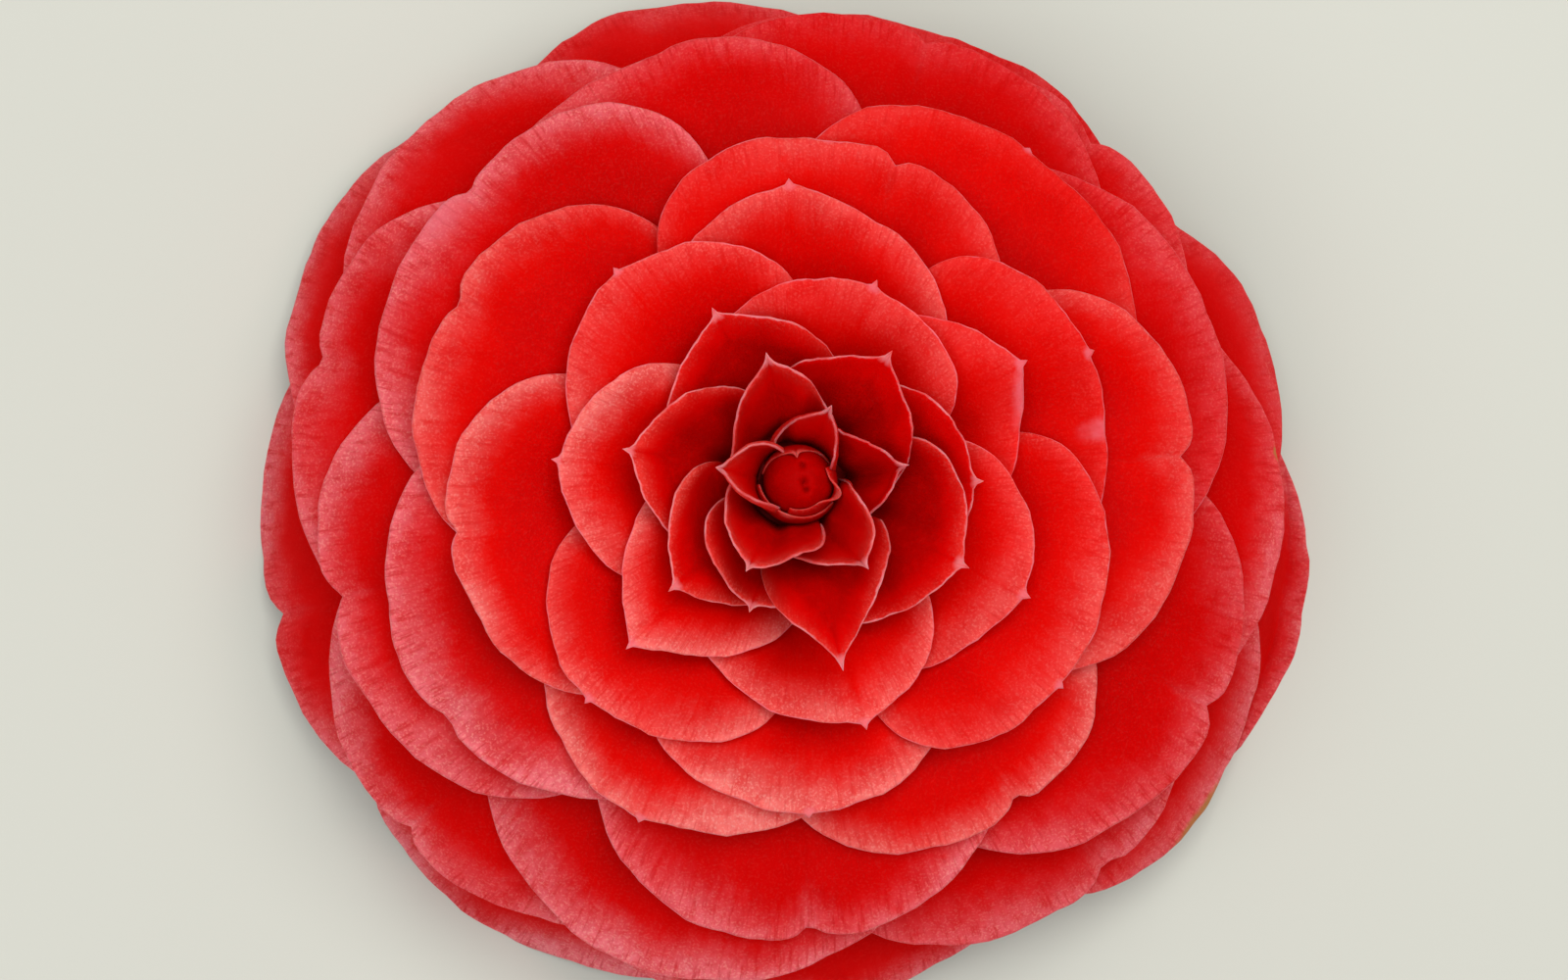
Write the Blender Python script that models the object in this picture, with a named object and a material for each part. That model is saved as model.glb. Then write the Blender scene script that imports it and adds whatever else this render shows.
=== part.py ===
"""Camellia flower: one formal double bloom, as picked, lying face up.

Units are metres and +Z is up. The origin is in the middle of the bloom's
footprint, on the surface that its reflexed outer petals rest on. The petals
grow from a domed receptacle, each one a thin shell between its seat there and
its rim, and they are stacked by one rule. At each azimuth a petal's depth is
the share of the petals there that lie inside it, so no two petals can meet.
"""

import math
from typing import NamedTuple, Optional

import bpy
import numpy as np
from mathutils import Vector

MM = 0.001

# Receptacle, a half ellipsoid that the petals are seated on, and the cut stalk.
SEAT_RADIUS = 9.6 * MM
SEAT_BOTTOM = 7.6 * MM
SEAT_HEIGHT = 17.0 * MM
SEAT_FIRST_ANGLE = 20.0
SEAT_CLEARANCE = 0.6 * MM
STALK_RADIUS = 2.3 * MM
STALK_END = 1.2 * MM

# The bloom's own dome, where the petals' rims lie.
HEART_RADIUS = 6.5 * MM
BLOOM_RADIUS = 48.2 * MM
BLOOM_FLATTENING = 0.035
BLOOM_FLAT_SIDE = 80.0
CROWN_HEIGHT = 35.0 * MM
CROWN_DROP = 41.5 * MM
CROWN_DROP_POWER = 2.4
SPREAD_POWER = 1.3

# Half of the angle that a petal bends through, against its depth in the bloom.
BEND_DEPTHS = (0.0, 0.15, 0.5, 0.8, 1.0)
BEND_ANGLES = (5.0, 10.0, 33.0, 43.0, 45.0)

# Petal blades.
PETAL_THICKNESS = 0.4 * MM
SIDE_FADE = 20.0
CLAW_WIDTH = 0.7
CLAW_END = 0.4
NOTCH_DEPTH = 1.0 * MM
NOTCH_WIDTH = 2.5
PETAL_ROWS = {"inner": 4, "middle": 5, "outer": 5}
PETAL_COLUMNS = 10

# Where the rim meets a petal's sides, as a share of its reach, against its reach.
SHOULDER_REACHES = (7.0, 15.0, 20.0, 30.0, 50.0)
SHOULDER_SHARES = (0.66, 0.60, 0.60, 0.56, 0.52)

# Centre bud, the heart of petals that are still closed.
BUD_RADIUS = 2.7 * MM
BUD_BOTTOM = 24.9 * MM
BUD_TOP = 31.5 * MM

# Calyx, a cup of sepals under the petals.
CALYX_INNER_RADIUS = 2.9 * MM
CALYX_RADIUS = 12.6 * MM
CALYX_BOTTOM = 4.4 * MM
CALYX_RISE = 3.4 * MM
CALYX_THICKNESS = 1.0 * MM
SEPAL_COUNT = 5
SEPAL_LENGTH = 1.8 * MM


class Petal(NamedTuple):
    """One petal in plan, seen from above."""

    azimuth: float  # degrees, of its tip
    reach: float  # millimetres, from the bloom's axis to its tip
    left: float  # degrees, from its tip to its anticlockwise side
    right: float  # degrees, from its tip to its clockwise side
    roundness: float  # of its rim, from 0.7 for a drawn-out point to 3 for a broad end
    notch: Optional[float] = None  # degrees, from its tip to a nick in its rim


# Innermost first: each petal lies inside those that follow it.
PETALS = (
    Petal(173, 7.0, 72, 66, 1.0),
    Petal(69, 6.2, 84, 64, 1.2),
    Petal(238, 8.5, 60, 66, 1.3),
    Petal(305, 8.5, 60, 70, 1.1),
    Petal(8, 8.5, 62, 66, 1.05),
    Petal(106, 10.0, 68, 60, 1.05),
    Petal(281, 14.5, 54, 34, 0.9),
    Petal(249, 11.0, 58, 58, 1.6),
    Petal(220, 13.0, 55, 55, 1.3),
    Petal(55, 12.0, 68, 68, 1.2),
    Petal(170, 14.0, 64, 56, 1.25),
    Petal(332, 14.5, 54, 64, 1.7),
    Petal(0, 14.5, 60, 62, 1.6),
    Petal(117, 15.0, 62, 54, 1.35),
    Petal(69, 17.0, 56, 52, 2.1),
    Petal(224, 19.0, 48, 44, 1.2),
    Petal(285, 20.5, 37, 56, 1.6),
    Petal(175, 20.0, 54, 44, 1.5),
    Petal(333, 20.5, 44, 56, 1.7),
    Petal(28, 20.5, 48, 56, 1.4),
    Petal(131, 23.0, 54, 44, 1.7),
    Petal(92, 24.5, 47, 54, 1.6),
    Petal(226, 25.0, 44, 39, 1.9),
    Petal(322, 27.5, 52, 35, 2.3),
    Petal(24, 26.5, 37, 50, 2.6),
    Petal(272, 27.5, 38, 43, 2.1),
    Petal(85, 29.0, 39, 47, 2.5, -12),
    Petal(190, 29.5, 45, 37, 2.1, -2),
    Petal(245, 31.0, 45, 40, 1.9),
    Petal(157, 33.0, 41, 41, 2.3, -5),
    Petal(4, 34.0, 38, 46, 2.2, 0),
    Petal(303, 33.5, 36, 40, 2.2, 2),
    Petal(55, 35.0, 39, 48, 2.2),
    Petal(205, 36.5, 46, 39, 2.0, 9),
    Petal(22, 39.0, 44, 37, 2.1),
    Petal(140, 38.5, 44, 36, 2.7, -2),
    Petal(270, 39.5, 41, 40, 1.9, 2),
    Petal(107, 39.0, 46, 32, 2.5),
    Petal(332, 42.0, 34, 43, 2.2, 0),
    Petal(194, 41.5, 45, 33, 2.3, 0),
    Petal(73, 42.0, 43, 42, 2.2, 0),
    Petal(48, 42.0, 45, 32, 2.4, 1),
    Petal(358, 43.5, 34, 44, 2.2),
    Petal(254, 44.0, 42, 39, 2.0),
    Petal(305, 44.5, 41, 37, 2.1, 5),
    Petal(167, 44.0, 38, 35, 2.4, -2),
    Petal(135, 46.0, 40, 32, 2.0),
    Petal(222, 46.0, 37, 37, 2.4, 0),
    Petal(69, 43.5, 43, 38, 2.7),
    Petal(108, 45.5, 33, 45, 2.1),
    Petal(18, 46.0, 35, 41, 1.9),
    Petal(324, 48.0, 34, 32, 2.1),
    Petal(271, 46.5, 42, 39, 2.3),
    Petal(150, 48.0, 35, 38, 2.2),
    Petal(344, 49.5, 39, 43, 2.0),
    Petal(194, 48.0, 36, 46, 2.6, 0),
    Petal(234, 48.0, 39, 36, 2.3),
)

# Whorls by reach in millimetres: name, smallest reach, colour.
WHORLS = (
    ("outer", 36.0, (0.62, 0.045, 0.06, 1.0)),
    ("middle", 16.0, (0.66, 0.035, 0.035, 1.0)),
    ("inner", 0.0, (0.60, 0.02, 0.02, 1.0)),
)
GREEN = (0.16, 0.22, 0.07, 1.0)
OLIVE = (0.20, 0.19, 0.09, 1.0)
BUD_RED = (0.45, 0.01, 0.012, 1.0)


def make_material(name, colour, roughness):
    """Returns a plain material of one colour."""
    material = bpy.data.materials.new(name)
    material.use_nodes = True
    shader = material.node_tree.nodes["Principled BSDF"]
    shader.inputs["Base Color"].default_value = colour
    shader.inputs["Roughness"].default_value = roughness
    shader.inputs["Metallic"].default_value = 0.0
    return material


def make_object(name, points, faces, material, parent):
    """Returns a smooth-shaded mesh object made of these points and faces."""
    mesh = bpy.data.meshes.new(name)
    mesh.from_pydata([tuple(p) for p in points], [], faces)
    mesh.materials.append(material)
    mesh.shade_smooth()
    part = bpy.data.objects.new(name, mesh)
    part.parent = parent
    bpy.context.scene.collection.objects.link(part)
    return part


def add_thickness(part, thickness):
    """Turns a sheet into a closed shell, half of its thickness on each side."""
    solidify = part.modifiers.new("thickness", "SOLIDIFY")
    solidify.thickness = thickness
    solidify.offset = 0.0
    solidify.use_even_offset = True
    solidify.use_rim = True


def smooth_step(x):
    """Returns 0 below 0, 1 above 1 and a smooth ramp between them."""
    x = np.clip(x, 0.0, 1.0)
    return x * x * (3.0 - 2.0 * x)


def turn(azimuth, start):
    """Returns the turn in degrees from start to azimuth, from -180 to 180."""
    return (azimuth - start + 180.0) % 360.0 - 180.0


def cover(petal, azimuth):
    """Returns 1 where a petal covers an azimuth, fading to 0 beyond its sides."""
    side = turn(azimuth, petal.azimuth)
    beyond = np.where(side > 0.0, side - petal.left, -side - petal.right)
    return 1.0 - smooth_step(beyond / SIDE_FADE)


def petal_depth(index, azimuth):
    """Returns the share of the petals at an azimuth that lie inside this one."""
    covers = [cover(petal, azimuth) for petal in PETALS]
    inside = sum(covers[:index], np.zeros_like(azimuth))
    return inside / sum(covers)


def rim_reach(petal, across):
    """Returns the rim's distance from the axis, for across from -1 to 1."""
    share = np.interp(petal.reach, SHOULDER_REACHES, SHOULDER_SHARES)
    power = petal.roundness
    bulge = np.clip(1.0 - np.abs(across) ** power, 0.0, 1.0) ** (1.0 / power)
    reach = petal.reach * MM * (share + (1.0 - share) * bulge)
    if petal.notch is not None:
        sides = np.where(across > 0.0, petal.left, petal.right)
        away = (across * sides - petal.notch) / NOTCH_WIDTH
        reach = reach - NOTCH_DEPTH * np.exp(-away * away)
    return reach


def seat(depth):
    """Returns the distance from the axis and the height of a petal's seat."""
    angle = np.radians(SEAT_FIRST_ANGLE + (90.0 - SEAT_FIRST_ANGLE) * depth)
    return SEAT_RADIUS * np.sin(angle), SEAT_BOTTOM + SEAT_HEIGHT * np.cos(angle)


def crown(depth, azimuth):
    """Returns the distance from the axis and the height where a petal meets the dome."""
    flat = np.cos(np.radians(azimuth - BLOOM_FLAT_SIDE))
    radius = BLOOM_RADIUS * (1.0 - BLOOM_FLATTENING * flat)
    spread = np.sin(depth * math.pi / 2.0) ** SPREAD_POWER
    height = CROWN_HEIGHT - CROWN_DROP * depth**CROWN_DROP_POWER
    return HEART_RADIUS + (radius - HEART_RADIUS) * spread, height


def blade_point(depth, azimuth, reach, along):
    """Returns a petal's middle surface, an arc from its seat that is cut at its reach.

    The arc runs through the seat and the crown point. Its slope falls steadily
    along it, and along goes from 0 at the seat to 1 where the arc is at reach.
    """
    seat_r, seat_z = seat(depth)
    crown_r, crown_z = crown(depth, azimuth)
    chord = np.hypot(crown_r - seat_r, crown_z - seat_z)
    chord_slope = np.arctan2(crown_z - seat_z, crown_r - seat_r)
    bend = np.radians(np.interp(depth, BEND_DEPTHS, BEND_ANGLES))
    first_slope = chord_slope + bend
    curvature = 2.0 * np.sin(bend) / chord
    last_sine = np.sin(first_slope) - curvature * (reach - seat_r)
    last_slope = np.arcsin(np.clip(last_sine, -0.98, 0.98))
    slope = first_slope + (last_slope - first_slope) * along
    distance = seat_r + (np.sin(first_slope) - np.sin(slope)) / curvature
    height = seat_z + (np.cos(slope) - np.cos(first_slope)) / curvature
    return distance, height


def petal_sheet(index, row_count):
    """Returns the points of a petal's middle surface, row by row from its seat to its rim."""
    petal = PETALS[index]
    across = np.sin(np.linspace(-math.pi / 2.0, math.pi / 2.0, PETAL_COLUMNS + 1))
    reach = rim_reach(petal, across)
    sides = np.where(across > 0.0, petal.left, petal.right)
    rows = []
    for along in np.linspace(0.0, 1.0, row_count + 1):
        width = CLAW_WIDTH + (1.0 - CLAW_WIDTH) * smooth_step(along / CLAW_END)
        azimuth = petal.azimuth + across * sides * width
        depth = petal_depth(index, azimuth)
        distance, height = blade_point(depth, azimuth, reach, along)
        height = np.maximum(height, PETAL_THICKNESS / 2.0)
        angle = np.radians(azimuth)
        rows.append(np.stack([distance * np.cos(angle), distance * np.sin(angle), height], 1))
    return np.concatenate(rows)


def grid_faces(rows, columns, closed=False):
    """Returns the quads of a grid of points, row by row, facing up on a petal."""
    stride = columns if closed else columns + 1
    faces = []
    for row in range(rows):
        for column in range(columns):
            following = (column + 1) % stride
            low = row * stride
            high = low + stride
            faces.append((low + column, high + column, high + following, low + following))
    return faces


def whorl_of(petal):
    """Returns the whorl that a petal belongs to."""
    return next(whorl for whorl in WHORLS if petal.reach >= whorl[1])


def make_petals(parent):
    """Makes every petal as its own thin shell."""
    materials = {name: make_material(f"petal_{name}", colour, 0.6) for name, _, colour in WHORLS}
    for index, petal in enumerate(PETALS):
        whorl = whorl_of(petal)[0]
        rows = PETAL_ROWS[whorl]
        name = f"{whorl}_petal_{index + 1:02d}"
        faces = grid_faces(rows, PETAL_COLUMNS)
        part = make_object(name, petal_sheet(index, rows), faces, materials[whorl], parent)
        add_thickness(part, PETAL_THICKNESS)


def make_turned(name, outline, material, parent, sides=20):
    """Makes a closed turned solid from (radius, height) points, bottom to top.

    The first and last points are joined to the axis by flat or pointed caps.
    """
    points = [Vector((0.0, 0.0, outline[0][1]))]
    for radius, height in outline:
        for side in range(sides):
            angle = 2.0 * math.pi * side / sides
            points.append(Vector((radius * math.cos(angle), radius * math.sin(angle), height)))
    points.append(Vector((0.0, 0.0, outline[-1][1])))
    last = len(points) - 1
    faces = []
    for side in range(sides):
        following = (side + 1) % sides
        faces.append((0, 1 + following, 1 + side))
        top = 1 + (len(outline) - 1) * sides
        faces.append((last, top + side, top + following))
        for ring in range(len(outline) - 1):
            low = 1 + ring * sides
            high = low + sides
            faces.append((low + side, low + following, high + following, high + side))
    part = make_object(name, points, faces, material, parent)
    part.data.set_sharp_from_angle(angle=math.radians(50.0))
    return part


def make_receptacle(parent):
    """Makes the domed receptacle with the cut stalk under it."""
    radius = SEAT_RADIUS - SEAT_CLEARANCE
    height = SEAT_HEIGHT - SEAT_CLEARANCE
    under = SEAT_BOTTOM - SEAT_CLEARANCE * 2.0
    outline = [(STALK_RADIUS, STALK_END), (STALK_RADIUS, under)]
    for step in range(9):
        angle = math.radians(10.0 * step)
        outline.append((radius * math.cos(angle), SEAT_BOTTOM + height * math.sin(angle)))
    outline.insert(2, (radius * 0.96, under))
    make_turned("receptacle", outline, make_material("green_base", GREEN, 0.6), parent)


def make_centre_bud(parent):
    """Makes the closed heart of the bloom, a small pointed egg."""
    steps = 8
    outline = []
    for step in range(steps):
        along = (step + 0.35) / (steps - 0.3)
        width = math.sin(math.pi * along**0.8) ** 0.6
        outline.append((BUD_RADIUS * width, BUD_BOTTOM + (BUD_TOP - BUD_BOTTOM) * along))
    make_turned("centre_bud", outline, make_material("bud_red", BUD_RED, 0.6), parent)


def make_calyx(parent):
    """Makes the calyx as one cup whose edge has a lobe for each sepal."""
    rings = 4
    sides = 6 * SEPAL_COUNT
    points = []
    for ring in range(rings + 1):
        along = ring / rings
        for side in range(sides):
            angle = 2.0 * math.pi * side / sides
            lobe = abs(math.cos(SEPAL_COUNT * angle / 2.0)) ** 0.7
            edge = CALYX_RADIUS + SEPAL_LENGTH * lobe
            radius = CALYX_INNER_RADIUS + (edge - CALYX_INNER_RADIUS) * along
            share = (radius - CALYX_INNER_RADIUS) / (CALYX_RADIUS - CALYX_INNER_RADIUS)
            height = CALYX_BOTTOM + CALYX_RISE * share**2
            points.append((radius * math.cos(angle), radius * math.sin(angle), height))
    faces = grid_faces(rings, sides, closed=True)
    part = make_object("calyx", points, faces, make_material("sepal_olive", OLIVE, 0.7), parent)
    add_thickness(part, CALYX_THICKNESS)


def evaluated_bounds(parts):
    """Returns the lowest and highest corners of these objects with their modifiers."""
    depsgraph = bpy.context.evaluated_depsgraph_get()
    corners = []
    for part in parts:
        mesh = part.evaluated_get(depsgraph).to_mesh()
        corners += [part.matrix_world @ vertex.co for vertex in mesh.vertices]
        part.evaluated_get(depsgraph).to_mesh_clear()
    lowest = Vector([min(corner[axis] for corner in corners) for axis in range(3)])
    highest = Vector([max(corner[axis] for corner in corners) for axis in range(3)])
    return lowest, highest


def main():
    """Makes the bloom and stands it over the origin."""
    for old in list(bpy.data.objects):
        bpy.data.objects.remove(old, do_unlink=True)
    bloom = bpy.data.objects.new("bloom", None)
    bpy.context.scene.collection.objects.link(bloom)
    make_receptacle(bloom)
    make_calyx(bloom)
    make_centre_bud(bloom)
    make_petals(bloom)
    bpy.context.view_layer.update()
    lowest, highest = evaluated_bounds(bloom.children)
    middle = (lowest + highest) / 2.0
    bloom.location = (-middle.x, -middle.y, -lowest.z)


main()
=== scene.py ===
"""Looks of a picked camellia bloom: velvety petals, closed heart, sepals and stalk.

Each petal is shaped by one Geometry Nodes tree from a flat two-sided sheet that
carries the petal's own outline. The sheet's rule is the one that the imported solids
follow, so a finished petal lies where its solid does. Lengths are in metres.
"""

from __future__ import annotations

import logging
import math
from dataclasses import dataclass
from enum import Enum
from typing import Any, Callable, Iterable, NamedTuple, Optional, Sequence, Union

import bpy
import numpy as np
from bpy.types import Material, Mesh, Node, NodeSocket, NodeTree, Object
from mathutils import Matrix, Vector

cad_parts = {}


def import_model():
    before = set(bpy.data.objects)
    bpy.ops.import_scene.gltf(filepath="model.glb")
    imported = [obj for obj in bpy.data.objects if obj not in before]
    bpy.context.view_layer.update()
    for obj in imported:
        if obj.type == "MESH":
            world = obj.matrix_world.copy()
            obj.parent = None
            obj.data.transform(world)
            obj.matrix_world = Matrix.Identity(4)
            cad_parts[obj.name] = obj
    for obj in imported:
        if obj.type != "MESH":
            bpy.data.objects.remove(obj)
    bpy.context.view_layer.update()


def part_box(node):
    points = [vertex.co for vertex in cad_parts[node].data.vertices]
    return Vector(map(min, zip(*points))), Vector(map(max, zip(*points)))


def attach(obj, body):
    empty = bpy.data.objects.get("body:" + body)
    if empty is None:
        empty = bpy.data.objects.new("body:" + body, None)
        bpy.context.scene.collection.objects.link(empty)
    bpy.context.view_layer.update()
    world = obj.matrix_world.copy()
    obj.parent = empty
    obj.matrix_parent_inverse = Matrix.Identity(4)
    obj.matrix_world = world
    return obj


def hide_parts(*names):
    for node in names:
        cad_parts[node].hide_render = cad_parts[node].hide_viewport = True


LOG = logging.getLogger("camellia")

MM = 0.001
QUARTER_TURN = math.pi / 2.0
ROOT = "root"
UV_MAP = "layout"
UV_UNIT = 10.0 * MM  # one unit of the UV map
STALK_END = 1.2 * MM  # the cut end's height where the axis has no lift

Array = np.ndarray
Colour = tuple[float, float, float, float]
Triple = tuple[float, float, float]
Number = Union[float, "Signal"]
Key = Union[str, int]
Settings = Optional[dict[str, Any]]
Values = Optional[dict[Any, Any]]


# Node trees


def operator(operation: str, reflected: bool = False) -> Callable[[Signal, Number], Signal]:
    """Makes an operator's method.

    Args:
        operation: The Math node's operation.
        reflected: Whether the signal is the second operand.

    Returns:
        A method that adds the Math node.
    """
    def method(self: Signal, other: Number) -> Signal:
        """Adds the node and returns its result."""
        return self.graph.math(operation, *((other, self) if reflected else (self, other)))

    return method


class Signal:
    """A socket of a node tree whose arithmetic adds Math nodes to the tree."""

    __add__ = __radd__ = operator("ADD")
    __sub__ = operator("SUBTRACT")
    __rsub__ = operator("SUBTRACT", True)
    __mul__ = __rmul__ = operator("MULTIPLY")
    __truediv__ = operator("DIVIDE")
    __rtruediv__ = operator("DIVIDE", True)
    __pow__ = operator("POWER")
    __rpow__ = operator("POWER", True)

    def __init__(self, graph: Graph, socket: NodeSocket) -> None:
        """Wraps an output socket of a tree."""
        self.graph = graph
        self.socket = socket

    def clamp(self) -> Signal:
        """Returns the value held between 0 and 1."""
        return self.graph.math("MINIMUM", self.graph.math("MAXIMUM", self, 0.0), 1.0)


class Graph:
    """A node tree that is built by calls: one method adds any node."""

    def __init__(self, tree: NodeTree) -> None:
        """Wraps a material's tree or a geometry node group."""
        self.tree = tree

    @staticmethod
    def socket(sockets: Iterable[NodeSocket], key: Key) -> NodeSocket:
        """Returns the first socket in use of that name, or at that place among those in use."""
        enabled = [s for s in sockets if s.enabled]
        return enabled[key] if isinstance(key, int) else next(s for s in enabled if s.name == key)

    def add(self, kind: str, settings: Settings = None, values: Values = None) -> Node:
        """Adds a node of any type.

        Args:
            kind: The node's type.
            settings: Its properties, set first.
            values: Its input sockets' values or the signals that feed them.

        Returns:
            The new node.
        """
        node = self.tree.nodes.new(kind)
        for name, value in (settings or {}).items():
            setattr(node, name, value)
        for key, value in (values or {}).items():
            socket = self.socket(node.inputs, key)
            if isinstance(value, Signal):
                self.tree.links.new(value.socket, socket)
            else:
                socket.default_value = value
        return node

    def out(self, kind: str, settings: Settings = None, values: Values = None, output: Key = 0) -> Signal:
        """Adds a node and returns one of its outputs, by name or place."""
        return Signal(self, self.socket(self.add(kind, settings, values).outputs, output))

    def math(self, operation: str, *operands: Number) -> Signal:
        """Adds a Math node and returns its result."""
        return self.out("ShaderNodeMath", {"operation": operation}, dict(enumerate(operands)))

    def step(self, value: Signal, start: float, end: float) -> Signal:
        """Returns a smooth ramp from 0 at start to 1 at end."""
        values = {"Value": value, "From Min": start, "From Max": end}
        return self.out("ShaderNodeMapRange", {"interpolation_type": "SMOOTHSTEP"}, values, "Result")

    def mix(self, factor: Number, first: Any, second: Any) -> Signal:
        """Adds a colour Mix node and returns its colour."""
        settings = {"data_type": "RGBA", "blend_type": "MIX", "clamp_factor": True}
        return self.out("ShaderNodeMix", settings, {"Factor": factor, "A": first, "B": second}, "Result")


class ShaderGraph(Graph):
    """A new material's tree round its one Principled shader."""

    def __init__(self, name: str, **constants: Any) -> None:
        """Makes the material.

        Args:
            name: The material's name.
            **constants: The shader's own values, its sockets' names with underscores.
        """
        self.material = bpy.data.materials.new(name)
        self.material.use_nodes = True
        super().__init__(self.material.node_tree)
        self.shader = self.tree.nodes["Principled BSDF"]
        for key, value in constants.items():
            self.shader.inputs[key.replace("_", " ")].default_value = value

    def attribute(self, name: str) -> Signal:
        """Returns a number that the piece's own mesh carries."""
        return self.out("ShaderNodeAttribute", {"attribute_name": name}, None, "Fac")

    def place(self) -> Signal:
        """Returns the Object coordinates."""
        return self.out("ShaderNodeTexCoord", None, None, "Object")

    def layout(self) -> Signal:
        """Returns the piece's own UV map."""
        return self.out("ShaderNodeUVMap", {"uv_map": UV_MAP}, None, "UV")

    def noise(self, vector: Signal, scale: float, detail: float = 3.0,
              stretch: Triple = (1.0, 1.0, 1.0)) -> Signal:
        """Returns a noise pattern, its coordinates stretched by a Mapping node."""
        mapped = self.out("ShaderNodeMapping", None, {"Vector": vector, "Scale": stretch})
        return self.out("ShaderNodeTexNoise", None, {"Vector": mapped, "Scale": scale, "Detail": detail})

    def feed(self, name: str, signal: Signal) -> None:
        """Feeds one of the shader's sockets."""
        self.tree.links.new(signal.socket, self.shader.inputs[name])

    def bump(self, height: Signal, strength: float, distance: float) -> None:
        """Feeds the shader's normal from a height pattern."""
        values = {"Height": height, "Strength": strength, "Distance": distance}
        self.feed("Normal", self.out("ShaderNodeBump", None, values, "Normal"))


# Finishes

OUTER_REACH = 36.0  # millimetres; from here on petals are outer ones, with no spike at the tip
MIDDLE_REACH = 16.0  # millimetres

# Scales of the noise patterns, in waves over a metre
DRIFT = 90.0
STALK_FIBRES = 300.0
MOTTLE = 330.0
SEPAL_MOTTLE = 420.0
HAIR_TINT = 900.0
GRAIN = 1300.0
STALK_GRAIN = 1500.0
SCAR_GRAIN = 2200.0
VELVET = 4600.0


class Whorl(Enum):
    """The three kinds of petal, each with its own finish and prefix of its solids' names."""

    INNER = "inner"
    MIDDLE = "middle"
    OUTER = "outer"

    @classmethod
    def of_reach(cls, reach: float) -> Whorl:
        """Returns the whorl of a petal that reaches this many millimetres."""
        inside = cls.INNER if reach < MIDDLE_REACH else cls.MIDDLE
        return inside if reach < OUTER_REACH else cls.OUTER


@dataclass(frozen=True)
class PetalFinish:
    """Velvety red petal: deep red inside, partly painted shade; coral towards a thin pale rim, partly
    painted light.
    """

    deep: Colour
    body: Colour
    blush: Colour
    blush_width: float
    edge: Colour = (0.86, 0.17, 0.21, 1.0)
    sparkle_highlight: Colour = (0.95, 0.36, 0.30, 1.0)
    claw: Colour = (0.80, 0.36, 0.28, 1.0)
    scar: Colour = (0.42, 0.16, 0.05, 1.0)
    blush_share: float = 0.64
    blush_power: float = 2.3
    line_width: float = 0.12 * MM
    vein_strength: float = 0.35
    speckle: float = 0.42

    def material(self, name: str) -> Material:
        """Builds the material.

        Args:
            name: Its name.

        Returns:
            The material.
        """
        graph = ShaderGraph(
            name,
            Roughness=0.5,
            Specular_IOR_Level=0.015,
            Subsurface_Weight=0.6,
            Subsurface_Radius=(1.0, 0.05, 0.03),
            Subsurface_Scale=0.0025,
        )
        rim = graph.attribute("rim")
        layout = graph.layout()
        place = graph.place()
        drift = graph.noise(place, DRIFT) - 0.5
        veins = graph.noise(layout, 5.0, 4.0, (6.0, 0.55, 1.0))
        streaks = graph.noise(layout, 9.0, 3.0, (9.0, 0.35, 1.0))
        velvet = graph.noise(place, VELVET, 2.0)
        grain = graph.noise(place, GRAIN)
        mottle = graph.noise(place, MOTTLE)

        # Deep red inside, partly painted shade under the inner petals' rims; coral towards the rim, partly
        # painted light
        reach = rim + (drift * 1.5 + (veins - 0.5) * 0.35) * self.blush_width
        blush = (1.0 - (reach / self.blush_width).clamp()) ** self.blush_power
        deep = graph.step(reach, self.blush_width * 0.7, self.blush_width * 1.7)
        colour = graph.mix(deep, self.body, self.deep)
        # More blush on petals turned to the lit side: painted light, over a random tone of each petal's own
        shade = (blush * (self.blush_share + graph.attribute("lit_side_and_tone") * 0.5)).clamp()
        colour = graph.mix(shade, colour, self.blush)

        # Mottles, velvet speckles that are partly painted sparkle highlights, and veins
        colour = graph.mix(graph.step(mottle, 0.45, 0.7) * 0.4, colour, self.deep)
        colour = graph.mix(graph.step(grain, 0.5, 0.66) * 0.3, colour, self.body)
        # Pale dots: partly the velvet's own texture, partly painted sparkle highlights
        speckle = graph.step(velvet, 0.5, 0.66) * (0.03 + shade) * self.speckle
        colour = graph.mix(speckle, colour, self.sparkle_highlight)
        vein_zone = 1.0 - graph.step(rim, 0.4 * MM, self.blush_width * 0.9)
        vein_lines = graph.step(veins * 0.5 + streaks * 0.5 + drift * 0.15, 0.50, 0.62) * vein_zone
        colour = graph.mix(vein_lines * self.vein_strength, colour, self.deep)

        # The pale line of the rim, partly its own colour and partly painted highlight where it catches the
        # light; bleached spots and the spike at the tip
        ragged = rim + (grain - 0.5) * (0.3 * MM)
        line = 1.0 - graph.step(ragged, self.line_width * 0.3, self.line_width)
        colour = graph.mix(line * (0.3 + graph.step(mottle, 0.35, 0.62) * 0.5), colour, self.edge)
        pale = graph.attribute("pale") * (0.4 + grain)
        colour = graph.mix(graph.step(pale, 0.1, 0.9) * 0.6, colour, self.edge)
        tip = 1.0 - graph.step(graph.attribute("tip"), 0.15 * MM, 0.8 * MM)
        colour = graph.mix(tip * 0.7, colour, self.edge)

        # The claw, and dry spots
        claw = 1.0 - graph.step(graph.attribute("along") + drift * 0.1, 0.08, 0.42)
        colour = graph.mix(claw * 0.75, colour, self.claw)
        scar = graph.attribute("scar") * (0.55 + graph.noise(place, SCAR_GRAIN))
        colour = graph.mix(graph.step(scar, 0.25, 0.8), colour, self.scar)

        graph.feed("Base Color", colour)
        graph.feed("Roughness", 0.44 + velvet * 0.16)
        height = velvet * 0.3 + grain * 0.35 + (streaks * 0.35 + veins * 0.6) * (0.3 + vein_zone * 0.5)
        graph.bump(height, 0.45, 0.14 * MM)
        return graph.material


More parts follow.
